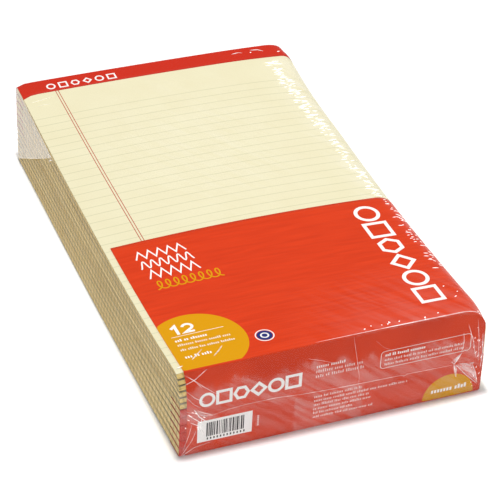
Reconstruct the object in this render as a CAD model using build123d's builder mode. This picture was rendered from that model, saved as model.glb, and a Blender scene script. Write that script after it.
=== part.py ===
"""A shrink-wrapped pack of twelve legal pads with a printed card folded over one end.

Millimetres. The pack lies on the XY plane with its bottom centre at the origin. +Y points to the
bound head of the top pad, +X to the right of someone who reads the top pad, +Z up.
"""
import os
from bisect import bisect_right

from build123d import *

# Sheets: legal size, 8 1/2 by 14 inches
sheet_width = 215.9
sheet_length = 355.6

# Pads: fifty sheets on a chipboard back, thicker at the bound head than elsewhere
pad_count = 12
front_headed_pads = 6
pad_thickness = 5.05
board_thickness = 0.6
front_head_growth = 1.45
rear_head_growth = 0.85
growth_length = 160.0
growth_steps = 3

# Binding tape, folded over the head
tape_thickness = 0.2
tape_lap = 16.0
gap_closing_length = 25.0

# Wire staples under the tape, pressed flush into the top sheet and the back
wire_diameter = 0.4
wire_slack = 0.05
wire_bend_radius = 0.3
staple_crown = 12.7
staple_clinch = 4.0
staple_setback = 8.0
staple_spacing = 80.0

# The top of the stack, which the tight film crowns in the middle and pulls down along the right edge
crown_rise = 2.0
crown_steps = 3
edge_drop = 9.0
edge_zone = 26.0
edge_steps = 3

# Printed card: top panel, front panel and a short return under the pack
card_thickness = 0.4
card_top_depth = 146.0
card_return_depth = 38.0
card_left_margin = 5.0
card_right_margin = 0.8

# Shrink film
film_thickness = 0.1
film_clearance = 0.15

# Trim seam of the film, round the front, right and rear faces
seam_radius = 0.5
seam_height_left = 37.0
seam_height_middle = 28.0
seam_height_right = 26.5

# Gathered corners of the film, and the fold on its left face
ear_thickness = 0.5
ear_width = 20.0
ear_rise = 3.0
ear_fall = 20.0
fold_thickness = 0.3
fold_length = 92.0
fold_top_margin = 2.0

# Derived places
half_width = sheet_width / 2
half_length = sheet_length / 2
card_underside = film_thickness
stack_base = card_underside + card_thickness
spine_front = -half_length - tape_thickness
spine_rear = half_length + tape_thickness
card_front = spine_front - card_thickness
film_half_width = half_width + film_clearance + film_thickness
film_front = card_front - film_clearance - film_thickness
film_rear = spine_rear + film_clearance + film_thickness
film_over_stack = card_thickness + film_clearance

# Places along the length where the layers change slope, measured from a head
closing_end = tape_lap + gap_closing_length
growth_step = (growth_length - closing_end) / growth_steps
head_distances = [0, tape_lap] + [closing_end + growth_step * n for n in range(growth_steps + 1)]
y_stations = sorted(
    {d - half_length for d in head_distances} | {half_length - d for d in head_distances}
)

# Places across the width where the layers change slope
edge_start = half_width - edge_zone
crown_step = (edge_start + half_width) / crown_steps
x_stations = [crown_step * n - half_width for n in range(crown_steps)]
x_stations += [edge_start + edge_zone * n / edge_steps for n in range(edge_steps + 1)]


def growth(distance):
    """Share of a head's extra thickness that is left at a distance from it."""
    return max(0.0, 1 - distance / growth_length) ** 2


def boundary_height(boundary, y):
    """Height under pad number boundary, counted from 0, along the stack's left edge."""
    front_heads = min(boundary, front_headed_pads)
    front_growth = front_heads * front_head_growth * growth(half_length + y)
    rear_growth = (boundary - front_heads) * rear_head_growth * growth(half_length - y)
    return stack_base + boundary * pad_thickness + front_growth + rear_growth


def top_shape(x):
    """How much higher the top of the stack is at a place across the width than at its left edge."""
    crown = crown_rise * (1 - (x / half_width) ** 2)
    return crown - edge_drop * max(0.0, (x - edge_start) / edge_zone) ** 2


def straight_between(stations, value, place):
    """The value at a place, on straight lines between the stations and beyond the last ones."""
    after = min(max(bisect_right(stations, place), 1), len(stations) - 1)
    low, high = stations[after - 1], stations[after]
    share = (place - low) / (high - low)
    return value(low) * (1 - share) + value(high) * share


def level(boundary, x, y):
    """Height of the boundary under pad number boundary at a place in the stack."""
    along = straight_between(y_stations, lambda place: boundary_height(boundary, place), y)
    return along + straight_between(x_stations, top_shape, x) * boundary / pad_count


def places_between(stations, start, end):
    """The start, the stations after it and the end."""
    return [start] + [place for place in stations if start < place < end] + [end]


def layer(outline, x_start, x_end):
    """A solid from x_start to x_end whose section at each place is the outline there."""
    with BuildPart() as solid:
        for x in places_between(x_stations, x_start, x_end):
            with BuildSketch(Plane.YZ.offset(x)):
                with BuildLine():
                    Polyline(*outline(x), close=True)
                make_face()
        loft(ruled=True)
    return solid.part


def head_place(pad):
    """Where the pad's head lies along Y, and which way its sheets run from there."""
    return (-half_length, 1) if pad < front_headed_pads else (half_length, -1)


def tape_room(pad, y):
    """Room that the tape holds open above and below a pad, closing beyond the lap."""
    head_y, _ = head_place(pad)
    beyond_lap = abs(y - head_y) - tape_lap
    return tape_thickness * min(1.0, max(0.0, 1 - beyond_lap / gap_closing_length))


def pad_underside(pad, x, y):
    return level(pad, x, y) + tape_room(pad, y)


def pad_top(pad, x, y):
    return level(pad + 1, x, y) - tape_room(pad, y)


def board_outline(pad, x):
    """Section of the backing board."""
    ys = places_between(y_stations, -half_length, half_length)
    under = [(y, pad_underside(pad, x, y)) for y in ys]
    return under + [(y, z + board_thickness) for y, z in reversed(under)]


def sheets_outline(pad, x):
    """Section of the fifty sheets, from the board to the top sheet."""
    ys = places_between(y_stations, -half_length, half_length)
    under = [(y, pad_underside(pad, x, y) + board_thickness) for y in ys]
    return under + [(y, pad_top(pad, x, y)) for y in reversed(ys)]


def binding_outline(pad, x):
    """Section of the tape: a lap above, a lap below, and the spine between them."""
    head_y, inward = head_place(pad)
    spine_y = head_y - inward * tape_thickness
    lap_y = head_y + inward * tape_lap
    return [
        (lap_y, level(pad, x, lap_y)),
        (spine_y, level(pad, x, spine_y)),
        (spine_y, level(pad + 1, x, spine_y)),
        (lap_y, level(pad + 1, x, lap_y)),
        (lap_y, pad_top(pad, x, lap_y)),
        (head_y, pad_top(pad, x, head_y)),
        (head_y, pad_underside(pad, x, head_y)),
        (lap_y, pad_underside(pad, x, lap_y)),
    ]


def card_outline(x):
    """Section of the card: its top panel follows the top pad, and its return lies flat."""
    return_y = spine_front + card_return_depth
    top_ys = places_between(y_stations, spine_front, spine_front + card_top_depth)
    inside = [(y, level(pad_count, x, y)) for y in top_ys]
    outside = [(y, z + card_thickness) for y, z in inside[1:]]
    front_top = level(pad_count, x, card_front) + card_thickness
    return [
        (return_y, card_underside),
        (return_y, stack_base),
        (spine_front, stack_base),
        *inside,
        *reversed(outside),
        (card_front, front_top),
        (card_front, card_underside),
    ]


def film_outline(x, inset):
    """Section of the film's outer face, or of the space inside when inset by its thickness."""
    front, rear = film_front + inset, film_rear - inset
    ys = places_between(y_stations, front, rear)
    over = film_over_stack + film_thickness - inset
    return [(rear, inset), (front, inset), *[(y, level(pad_count, x, y) + over) for y in ys]]


def staple_places():
    """Middle of each staple across the width."""
    return [-staple_spacing / 2, staple_spacing / 2]


def staple_y(pad):
    """Where a pad's staples lie along its length."""
    head_y, inward = head_place(pad)
    return head_y + inward * staple_setback


def staple_frame(pad, middle, spread, depth):
    """Corners of a frame round a staple's legs, as far outside them as spread and depth deep in the pad."""
    y = staple_y(pad)
    left = middle - staple_crown / 2 - spread
    right = middle + staple_crown / 2 + spread
    return [
        (left, pad_underside(pad, left, y) + depth),
        (left, pad_top(pad, left, y) - depth),
        (right, pad_top(pad, right, y) - depth),
        (right, pad_underside(pad, right, y) + depth),
    ]


def staple_channels(pad):
    """The space that the wires press into a pad: grooves for crown and clinch, holes for legs."""
    width = wire_diameter + 2 * wire_slack
    with BuildPart() as channels:
        for middle in staple_places():
            with BuildSketch(Plane.XZ.offset(-staple_y(pad))):
                with BuildLine():
                    Polyline(*staple_frame(pad, middle, width / 2, -wire_slack), close=True)
                make_face()
                with BuildLine():
                    Polyline(*staple_frame(pad, middle, -width / 2, width), close=True)
                make_face(mode=Mode.SUBTRACT)
            extrude(amount=width / 2, both=True)
    return channels.part


def sheets_and_board(pad):
    """The two flat pieces of a pad, with the staples' channels through both."""
    channels = staple_channels(pad)
    with BuildPart() as sheets:
        add(layer(lambda x: sheets_outline(pad, x), -half_width, half_width))
        add(channels, mode=Mode.SUBTRACT)
    with BuildPart() as board:
        add(layer(lambda x: board_outline(pad, x), -half_width, half_width))
        add(channels, mode=Mode.SUBTRACT)
    return sheets, board


def binding_tape(pad):
    """The tape round a pad's head."""
    with BuildPart() as tape:
        add(layer(lambda x: binding_outline(pad, x), -half_width, half_width))
    return tape


def staple_wires(pad):
    """The two staples of a pad, their legs bent inward under the board."""
    depth = wire_slack + wire_diameter / 2
    with BuildPart() as wires:
        for middle in staple_places():
            corners = staple_frame(pad, middle, 0, depth)
            tips = staple_frame(pad, middle, -staple_clinch, depth)
            with BuildLine(Plane.XZ.offset(-staple_y(pad))) as bent:
                FilletPolyline(tips[0], *corners, tips[-1], radius=wire_bend_radius)
            with BuildSketch(Plane(origin=bent.line @ 0, z_dir=bent.line % 0)):
                Circle(wire_diameter / 2)
            sweep()
    return wires


def seam_run(plane_at, stations):
    """A half-round bead outside a face; stations give the place and height of each section."""
    with BuildPart() as bead:
        for place, height in stations:
            with BuildSketch(plane_at(place)):
                with BuildLine():
                    Line((0, height - seam_radius), (0, height + seam_radius))
                    ThreePointArc(
                        (0, height + seam_radius), (seam_radius, height), (0, height - seam_radius)
                    )
                make_face()
        loft(ruled=True)
    return bead.part


def front_section(x):
    """A plane across the width whose local X points out of the front face."""
    return Plane(origin=(x, film_front, 0), x_dir=(0, -1, 0), z_dir=(-1, 0, 0))


def rear_section(x):
    """A plane across the width whose local X points out of the rear face."""
    return Plane(origin=(x, film_rear, 0), x_dir=(0, 1, 0), z_dir=(1, 0, 0))


def right_section(y):
    """A plane along the length whose local X points out of the right face."""
    return Plane(origin=(film_half_width, y, 0), x_dir=(1, 0, 0), z_dir=(0, -1, 0))


# The pads, from the bottom up
pad_pieces = []
for pad in range(pad_count):
    sheets, board = sheets_and_board(pad)
    name = f"pad_{pad + 1:02d}"
    pad_pieces += [
        (f"{name}_sheets", sheets),
        (f"{name}_backing_board", board),
        (f"{name}_binding", binding_tape(pad)),
        (f"{name}_staples", staple_wires(pad)),
    ]

# The printed card
with BuildPart() as label_card:
    add(layer(card_outline, card_left_margin - half_width, half_width - card_right_margin))

# The film: a closed skin with its trim seam, two gathered ears and a fold
film_inner_half_width = film_half_width - film_thickness
ear_outer = film_half_width - seam_radius
ear_inner = ear_outer - ear_width
ear_tip = (ear_inner, seam_height_right)
ear_upper = (ear_outer, seam_height_right + ear_rise)
ear_lower = (ear_outer, seam_height_right - ear_fall)
fold_top = level(pad_count, -half_width, film_rear) - fold_top_margin
fold_start = film_rear - fold_length
fold_start_height = level(pad_count, -half_width, fold_start) - fold_top_margin

with BuildPart() as shrink_film:
    add(layer(lambda x: film_outline(x, 0), -film_half_width, film_half_width))
    add(
        layer(
            lambda x: film_outline(x, film_thickness), -film_inner_half_width, film_inner_half_width
        ),
        mode=Mode.SUBTRACT,
    )
    across = [
        (-film_half_width, seam_height_left),
        (0, seam_height_middle),
        (film_half_width, seam_height_right),
    ]
    add(seam_run(front_section, across))
    add(seam_run(rear_section, across))
    add(seam_run(right_section, [(film_front, seam_height_right), (film_rear, seam_height_right)]))
    with BuildSketch(Plane.XZ.offset(-film_front)):
        with BuildLine():
            Polyline(ear_tip, ear_upper, ear_lower, close=True)
        make_face()
    extrude(amount=ear_thickness)
    with BuildSketch(Plane.XZ.offset(-film_rear)):
        with BuildLine():
            Polyline(ear_tip, ear_upper, ear_lower, close=True)
        make_face()
    extrude(amount=-ear_thickness)
    with BuildSketch(Plane.YZ.offset(-film_half_width)):
        with BuildLine():
            Polyline((film_rear, 0), (film_rear, fold_top), (fold_start, fold_start_height), close=True)
        make_face()
    extrude(amount=-fold_thickness)

# Write each piece
os.makedirs("parts", exist_ok=True)
for piece_name, piece in pad_pieces:
    piece.part.label = piece_name
    export_step(piece.part, f"parts/{piece_name}.step")

label_card.part.label = "label_card"
export_step(label_card.part, "parts/label_card.step")

shrink_film.part.label = "shrink_film"
export_step(shrink_film.part, "parts/shrink_film.step")
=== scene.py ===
"""Looks of a shrink-wrapped pack of twelve legal pads with a printed card folded over one end.

Sizes are in millimetres until a mesh is made. The pack lies as in the frame: +Y points to the head of
the top pad, +X to the right of its reader, +Z up.
"""
import math
import random

import bmesh
import bpy
from mathutils import Matrix, Vector, noise


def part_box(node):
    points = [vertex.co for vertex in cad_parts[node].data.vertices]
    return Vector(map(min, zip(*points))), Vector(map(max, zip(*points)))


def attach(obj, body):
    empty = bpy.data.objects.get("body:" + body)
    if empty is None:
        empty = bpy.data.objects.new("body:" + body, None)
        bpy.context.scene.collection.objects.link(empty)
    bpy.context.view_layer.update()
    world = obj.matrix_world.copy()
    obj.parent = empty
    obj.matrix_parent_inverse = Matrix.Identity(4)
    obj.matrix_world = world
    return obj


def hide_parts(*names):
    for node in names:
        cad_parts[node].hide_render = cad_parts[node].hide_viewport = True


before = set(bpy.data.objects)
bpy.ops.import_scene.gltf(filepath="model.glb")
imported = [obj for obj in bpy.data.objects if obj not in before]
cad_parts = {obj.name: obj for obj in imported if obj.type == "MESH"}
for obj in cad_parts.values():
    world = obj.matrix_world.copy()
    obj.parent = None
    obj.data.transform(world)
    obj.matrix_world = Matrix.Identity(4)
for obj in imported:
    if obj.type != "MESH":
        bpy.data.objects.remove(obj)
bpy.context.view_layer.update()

MM = 0.001

# Sizes that the frame gives
sheet_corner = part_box("pad_01_sheets")[1]
HALF_WIDTH = sheet_corner[0] / MM
HALF_LENGTH = sheet_corner[1] / MM
PADS = sum(name.endswith("_backing_board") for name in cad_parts)

# Pads, as in the frame
FRONT_HEADED_PADS = 6
PAD_THICKNESS = 5.05
BOARD_THICKNESS = 0.6
BOARD_INSET = 0.35
FRONT_HEAD_GROWTH = 1.45
REAR_HEAD_GROWTH = 0.85
GROWTH_LENGTH = 160.0
TAPE_THICKNESS = 0.2
TAPE_LAP = 16.0
TAPE_FOLD_RADIUS = 0.7
GAP_CLOSING_LENGTH = 25.0
SHEETS_PER_PAD = 50
SHEET_BANDS = 10
BAND_LIP = 0.004

# Left end of the top pad's tape lap, which the film pulls down
PULLED_LAP = 4.0
PULLED_LAP_START = 97.0
PULLED_LAP_LENGTH = 11.0

# Wire staples under the tape
STAPLE_WIRE = 0.4
STAPLE_CROWN = 12.7
STAPLE_CLINCH = 4.0
STAPLE_SETBACK = 8.0
STAPLE_SPACING = 80.0
STAPLE_DEPTH = 0.25

# Gap between the loose feet of the sheets
FOOT_GAP = 0.8
FOOT_GAP_LENGTH = 22.0
FOOT_GAP_SHARE_INSIDE = 0.35

# Crown of the stack and the pull of the film along its right edge
CROWN_AT_ENDS = 0.8
CROWN_AT_MIDDLE = 3.6
EDGE_RADIUS_AT_FRONT = 10.8
EDGE_RADIUS_AT_MIDDLE = 17.0
EDGE_RADIUS_AT_REAR = 9.0
EDGE_ZONE = 24.0
EDGE_STATIONS = 12
RIM_CELL = 0.3

# Corners that the film pulls down: place across and along, reach and depth
PULLED_CORNERS = ((1, 1, 18.0, 5.4), (-1, 1, 9.0, 2.6), (1, -1, 20.0, 5.8), (-1, -1, 6.0, 0.8))

# Right edge towards the rear, which the film draws down a little
DRAWN_DEPTH = 3.0
DRAWN_PLACE = 125.0
DRAWN_LENGTH = 78.0
DRAWN_BREADTH = 62.0

# Lower front left corner of the stack, which stands back from the rest
SETTLED_BY = 3.4
SETTLED_LENGTH = 210.0

# Upper front right corner, which the film draws in
TUCKED_BY = 2.2
TUCKED_LENGTH = 100.0

# Printed card
CARD_THICKNESS = 0.4
CARD_UNDERSIDE = 0.1
CARD_TOP_DEPTH = 146.0
CARD_RETURN_DEPTH = 38.0
CARD_LEFT_MARGIN = 5.0
CARD_RIGHT_MARGIN = 0.8
CARD_FOLD_RADIUS = 1.1

# Film
FILM_THICKNESS = 0.1
FILM_CLEARANCE = 0.15

# Print on the sheets
RULE_PITCH = 8.731
RULE_WIDTH = 0.45
RULE_STRENGTH = 0.42
RULES = 35
LAST_RULE = -166.0
MARGIN_X = -80.0
MARGIN_GAP = 2.0
MARGIN_WIDTH = 0.42
MARGIN_STRENGTH = 1.0
MARGIN_LEAN = 0.008
FULL_INK_SHARE = 0.3

# Colours of the paper, its print and its cut edges, with the painted shade of the edges last
PAPER_PALE = "E2DCBB"
PAPER_DEEP = "DDD5B1"
RULE_COLOUR = "A1A581"
MARGIN_COLOUR = "AC3520"
EDGE_TICK = "6E6238"
EDGE_SHADE = "574A28"

# Grain of the paper, and the cut edges' painted shade between sheets and pads: its run along a sheet, and the
# slanting ends of the rules
MOTTLE_SIZE = 22.22
FIBRE_SIZE = 1.111
SHADE_CHANGES_PER_MM = 0.012
SHADE_CHANGES_PER_SHEET = 0.42
OUTER_SHEETS_START = 0.78
OUTER_SHEET_SHADE = 0.5
SHEET_COUNT_PITCH = 61.0
TICK_PITCH = 5.6
TICK_REACH = 0.2
TICK_CORE = 0.05
TICK_STRENGTH = 0.34
RULE_SLANT = 0.016

# Uneven polish of the wire, ripples of the film, and the streaks of its milky veil
POLISH_SIZE = 0.25
RIPPLE_SIZE = 16.67
STREAK_LENGTH = 32.0
STREAK_WIDTH = 4.0

# Derived places
STACK_BASE = CARD_UNDERSIDE + CARD_THICKNESS
SPINE_FRONT = -HALF_LENGTH - TAPE_THICKNESS
SPINE_REAR = HALF_LENGTH + TAPE_THICKNESS
CARD_FRONT = SPINE_FRONT - CARD_THICKNESS
CARD_REAR = SPINE_FRONT + CARD_TOP_DEPTH
CARD_LEFT = CARD_LEFT_MARGIN - HALF_WIDTH
CARD_RIGHT = HALF_WIDTH - CARD_RIGHT_MARGIN
FILM_HALF_WIDTH = HALF_WIDTH + FILM_CLEARANCE + FILM_THICKNESS
FILM_FRONT = CARD_FRONT - FILM_CLEARANCE - FILM_THICKNESS
FILM_REAR = SPINE_REAR + FILM_CLEARANCE + FILM_THICKNESS
EDGE_START = HALF_WIDTH - EDGE_ZONE


# Shape of the stack

def growth(distance):
    """Share of a head's extra thickness that is left at a distance from it."""
    return max(0.0, 1 - distance / GROWTH_LENGTH) ** 2


def boundary_height(boundary, y):
    """Height under pad number boundary, counted from 0, along the stack's left edge."""
    front_heads = min(boundary, FRONT_HEADED_PADS)
    front_growth = front_heads * FRONT_HEAD_GROWTH * growth(HALF_LENGTH + y)
    rear_growth = (boundary - front_heads) * REAR_HEAD_GROWTH * growth(HALF_LENGTH - y)
    return STACK_BASE + boundary * PAD_THICKNESS + front_growth + rear_growth


def top_shape(x, y):
    """How much higher the top of the stack is at a place than at its left edge."""
    along = y / HALF_LENGTH
    middle = max(0.0, 1 - along ** 2)
    crown = CROWN_AT_ENDS + (CROWN_AT_MIDDLE - CROWN_AT_ENDS) * middle
    end_radius = EDGE_RADIUS_AT_REAR if y > 0 else EDGE_RADIUS_AT_FRONT
    radius = end_radius + (EDGE_RADIUS_AT_MIDDLE - end_radius) * middle
    turn = min(1.0, max(0.0, 1 - (HALF_WIDTH - x) / radius))
    height = crown * (1 - (x / HALF_WIDTH) ** 2) - radius * (1 - math.sqrt(1 - turn ** 2))
    for side, end, reach, depth in PULLED_CORNERS:
        distance = math.hypot(x - side * HALF_WIDTH, y - end * HALF_LENGTH)
        height -= depth * max(0.0, 1 - distance / reach) ** 2
    near_place = max(0.0, 1 - ((y - DRAWN_PLACE) / DRAWN_LENGTH) ** 2)
    near_edge = max(0.0, 1 - (HALF_WIDTH - x) / DRAWN_BREADTH)
    return height - DRAWN_DEPTH * (near_place * near_edge) ** 2


def level(boundary, x, y):
    """Height of the boundary under pad number boundary at a place in the stack."""
    return boundary_height(boundary, y) + top_shape(x, y) * boundary / PADS


def settled(x, y, z):
    """A place in the pack after its lower front left and upper front right corners have moved in."""
    stack_top = level(PADS, -HALF_WIDTH, max(-HALF_LENGTH, min(HALF_LENGTH, y)))
    from_top = min(1.0, max(0.0, 1 - z / stack_top))
    from_front = max(0.0, 1 - (y + HALF_LENGTH) / SETTLED_LENGTH)
    to_left = max(0.0, -x / HALF_WIDTH)
    to_right = max(0.0, x / HALF_WIDTH)
    by_front = max(0.0, 1 - (y + HALF_LENGTH) / TUCKED_LENGTH)
    settling = SETTLED_BY * from_front ** 1.6 * (1 - (1 - from_top) ** 5) * to_left ** 3
    tuck = TUCKED_BY * by_front ** 1.5 * (1 - from_top) ** 2 * to_right ** 3
    return x + settling - tuck, y, z


def head_place(pad):
    """Where the pad's head lies along Y, and which way its sheets run from there."""
    return (-HALF_LENGTH, 1) if pad < FRONT_HEADED_PADS else (HALF_LENGTH, -1)


def tape_room(pad, y):
    """Room that the tape holds open above and below a pad, closing beyond the lap."""
    head_y, _ = head_place(pad)
    beyond_lap = abs(y - head_y) - TAPE_LAP
    return TAPE_THICKNESS * min(1.0, max(0.0, 1 - beyond_lap / GAP_CLOSING_LENGTH))


def pad_underside(pad, x, y):
    """Height of a pad's board at a place."""
    return level(pad, x, y) + tape_room(pad, y)


def pad_top(pad, x, y):
    """Height of a pad's top sheet at a place."""
    return level(pad + 1, x, y) - tape_room(pad, y)


# Meshes

def steps(start, end, count):
    """Evenly spaced places from start to end, with count spaces between them."""
    return [start + (end - start) * n / count for n in range(count + 1)]


def spaced(start, end, step):
    """Evenly spaced places from start to end, no further apart than step."""
    return steps(start, end, max(1, math.ceil(abs(end - start) / step)))


def turns(start, end, count):
    """Evenly spaced angles in radians between two angles in degrees."""
    return [math.radians(angle) for angle in steps(start, end, count)]


def along_path(path, step):
    """Places along a path of straight runs, no further apart than step."""
    places = [Vector(path[0])]
    for start, end in zip(path, path[1:]):
        count = max(1, math.ceil(math.dist(start, end) / step))
        places += [Vector(start).lerp(Vector(end), n / count) for n in range(1, count + 1)]
    return places


def across_stations(left, right, coarse):
    """Places across the pack, closer together towards its rounded right edge."""
    edge = [HALF_WIDTH - EDGE_ZONE * (1 - n / EDGE_STATIONS) ** 2 for n in range(1, EDGE_STATIONS + 1)]
    inside = spaced(left + RIM_CELL, EDGE_START, coarse) + [x for x in edge if x < right - 0.05]
    return [left] + inside + [right]


def along_stations(step):
    """Places along the pack, with a narrow cell at each end that keeps the shading crisp."""
    return [-HALF_LENGTH] + spaced(RIM_CELL - HALF_LENGTH, HALF_LENGTH - RIM_CELL, step) + [HALF_LENGTH]


def block_surface(xs, ys, zs):
    """Corners of a block of cells, its outward faces and the side that each face is on."""
    corners, faces, sides = {}, [], []

    def cover(side, across, up, place, flip):
        for a in range(across):
            for b in range(up):
                loop = [place(a, b), place(a + 1, b), place(a + 1, b + 1), place(a, b + 1)]
                loop = [corners.setdefault(corner, len(corners)) for corner in loop]
                faces.append(loop[::-1] if flip else loop)
                sides.append(side)

    last_x, last_y, last_z = len(xs) - 1, len(ys) - 1, len(zs) - 1
    cover("top", last_x, last_y, lambda a, b: (a, b, last_z), False)
    cover("bottom", last_x, last_y, lambda a, b: (a, b, 0), True)
    cover("front", last_x, last_z, lambda a, b: (a, 0, b), False)
    cover("rear", last_x, last_z, lambda a, b: (a, last_y, b), True)
    cover("right", last_y, last_z, lambda a, b: (last_x, a, b), False)
    cover("left", last_y, last_z, lambda a, b: (0, a, b), True)
    return list(corners), faces, sides


def strip_surface(sections):
    """Points and faces of a closed strip; each section gives its outer and its inner points."""
    count = len(sections[0][0])
    points, faces = [], []
    for outer, inner in sections:
        points += outer + inner

    def at(section, inside, place):
        return (section * 2 + inside) * count + place

    last = len(sections) - 1
    for s in range(last):
        for n in range(count - 1):
            faces.append([at(s, 0, n), at(s, 0, n + 1), at(s + 1, 0, n + 1), at(s + 1, 0, n)])
            faces.append([at(s, 1, n), at(s + 1, 1, n), at(s + 1, 1, n + 1), at(s, 1, n + 1)])
        for n in (0, count - 1):
            faces.append([at(s, 0, n), at(s + 1, 0, n), at(s + 1, 1, n), at(s, 1, n)])
    for s in (0, last):
        for n in range(count - 1):
            faces.append([at(s, 0, n), at(s, 1, n), at(s, 1, n + 1), at(s, 0, n + 1)])
    return points, faces


def settled_mesh(name, points, faces):
    """A mesh in metres from points in millimetres, settled with the rest of the pack."""
    mesh = bpy.data.meshes.new(name)
    mesh.from_pydata([[size * MM for size in settled(*point)] for point in points], [], faces)
    return mesh


def placed_piece(name, mesh, replaced=()):
    """The object of a finished mesh, riding on the pack's one body."""
    piece = bpy.data.objects.new(name, mesh)
    bpy.context.scene.collection.objects.link(piece)
    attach(piece, "root")
    for node in replaced:
        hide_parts(node)
    return piece


def new_piece(name, points, faces, materials, replaced=(), turn_outwards=False, smooth=True):
    """A piece from points in millimetres, shaded smooth or flat."""
    mesh = settled_mesh(name, points, faces)
    if turn_outwards:
        shape = bmesh.new()
        shape.from_mesh(mesh)
        bmesh.ops.recalc_face_normals(shape, faces=shape.faces)
        shape.to_mesh(mesh)
        shape.free()
    for material in materials:
        mesh.materials.append(material)
    if smooth:
        mesh.shade_smooth()
    else:
        mesh.shade_flat()
    return placed_piece(name, mesh, replaced)


# Materials

def srgb(code):
    """Linear colour of an sRGB hex value."""
    channels = [int(code[n:n + 2], 16) / 255 for n in (0, 2, 4)]
    return [c / 12.92 if c <= 0.04045 else ((c + 0.055) / 1.055) ** 2.4 for c in channels] + [1.0]


def add_node(tree, kind, inputs=None, **settings):
    """Adds a node with its settings; an input is a value or the socket that is linked to it."""
    made = tree.nodes.new(kind)
    for name, value in settings.items():
        setattr(made, name, value)
    for name, value in (inputs or {}).items():
        if isinstance(value, bpy.types.NodeSocket):
            tree.links.new(value, made.inputs[name])
        else:
            made.inputs[name].default_value = value
    return made


def maths(tree, operation, *values, use_clamp=False):
    """The result of an operation on numbers or sockets."""
    made = add_node(
        tree, "ShaderNodeMath", dict(enumerate(values)), operation=operation, use_clamp=use_clamp
    )
    return made.outputs[0]


def remapped(tree, value, start, end, low, high):
    """A value carried from the range start to end over to the range low to high."""
    inputs = {"Value": value, "From Min": start, "From Max": end, "To Min": low, "To Max": high}
    return add_node(tree, "ShaderNodeMapRange", inputs).outputs[0]


def noise_at(tree, place, scale, detail=2.0, roughness=0.5, distortion=0.0):
    """Noise between 0 and 1; scale is how many of its waves go into a unit of the place."""
    inputs = {
        "Vector": place, "Scale": scale, "Detail": detail, "Roughness": roughness, "Distortion": distortion
    }
    return add_node(tree, "ShaderNodeTexNoise", inputs).outputs["Fac"]


def blended(tree, share, first, second):
    """The first colour with a share of the second mixed in."""
    return add_node(tree, "ShaderNodeMix", {0: share, 6: first, 7: second}, data_type="RGBA").outputs[2]


def layered(tree, share, first, second):
    """The first shader with a share of the second mixed in."""
    return add_node(tree, "ShaderNodeMixShader", {0: share, 1: first, 2: second}).outputs[0]


def bumped(tree, height, strength, distance):
    """Shading normals roughened by a height; distance is in millimetres."""
    inputs = {"Strength": strength, "Distance": distance * MM, "Height": height}
    return add_node(tree, "ShaderNodeBump", inputs).outputs[0]


def new_material(name):
    """An empty material with its tree and output."""
    material = bpy.data.materials.new(name)
    material.use_nodes = True
    tree = material.node_tree
    tree.nodes.clear()
    return material, tree, tree.nodes.new("ShaderNodeOutputMaterial")


def opaque_material(material, tree, output, colour, normal, roughness, specular):
    """Ends a material's tree with an opaque surface."""
    surface = add_node(
        tree, "ShaderNodeBsdfPrincipled",
        {"Base Color": colour, "Roughness": roughness, "Specular IOR Level": specular, "Normal": normal},
    )
    tree.links.new(surface.outputs[0], output.inputs[0])
    return material


def ruled_canary_paper():
    """Uncoated yellow writing paper: dead matt, lightly mottled, with grey-green rules and a red margin."""
    material, tree, output = new_material("canary_ruled_paper")
    place = add_node(tree, "ShaderNodeTexCoord").outputs["Object"]
    axes = add_node(tree, "ShaderNodeSeparateXYZ", {"Vector": place}).outputs
    mottle = noise_at(tree, place, 1 / (MOTTLE_SIZE * MM), detail=3.0)
    paper = blended(tree, mottle, srgb(PAPER_DEEP), srgb(PAPER_PALE))
    from_last = maths(tree, "SUBTRACT", axes["Y"], LAST_RULE * MM)
    in_pitches = maths(tree, "MULTIPLY", from_last, 1 / (RULE_PITCH * MM))
    nearest = maths(tree, "ROUND", in_pitches)
    wanted = add_node(tree, "ShaderNodeClamp", {"Value": nearest, "Min": 0.0, "Max": RULES - 1.0}).outputs[0]
    from_rule = maths(tree, "ABSOLUTE", maths(tree, "SUBTRACT", in_pitches, wanted))
    width = RULE_WIDTH / RULE_PITCH
    on_rule = remapped(tree, from_rule, width, FULL_INK_SHARE * width, 0.0, RULE_STRENGTH)
    ruled = blended(tree, on_rule, paper, srgb(RULE_COLOUR))
    leaning = maths(tree, "MULTIPLY_ADD", axes["Y"], MARGIN_LEAN, axes["X"])
    from_middle = maths(tree, "ABSOLUTE", maths(tree, "SUBTRACT", leaning, MARGIN_X * MM))
    from_line = maths(tree, "ABSOLUTE", maths(tree, "SUBTRACT", from_middle, MARGIN_GAP / 2 * MM))
    width = MARGIN_WIDTH * MM
    on_line = remapped(tree, from_line, width, FULL_INK_SHARE * width, 0.0, MARGIN_STRENGTH)
    printed = blended(tree, on_line, ruled, srgb(MARGIN_COLOUR))
    fibres = bumped(tree, noise_at(tree, place, 1 / (FIBRE_SIZE * MM)), 0.15, 0.1)
    return opaque_material(material, tree, output, printed, fibres, roughness=0.85, specular=0.25)


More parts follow.
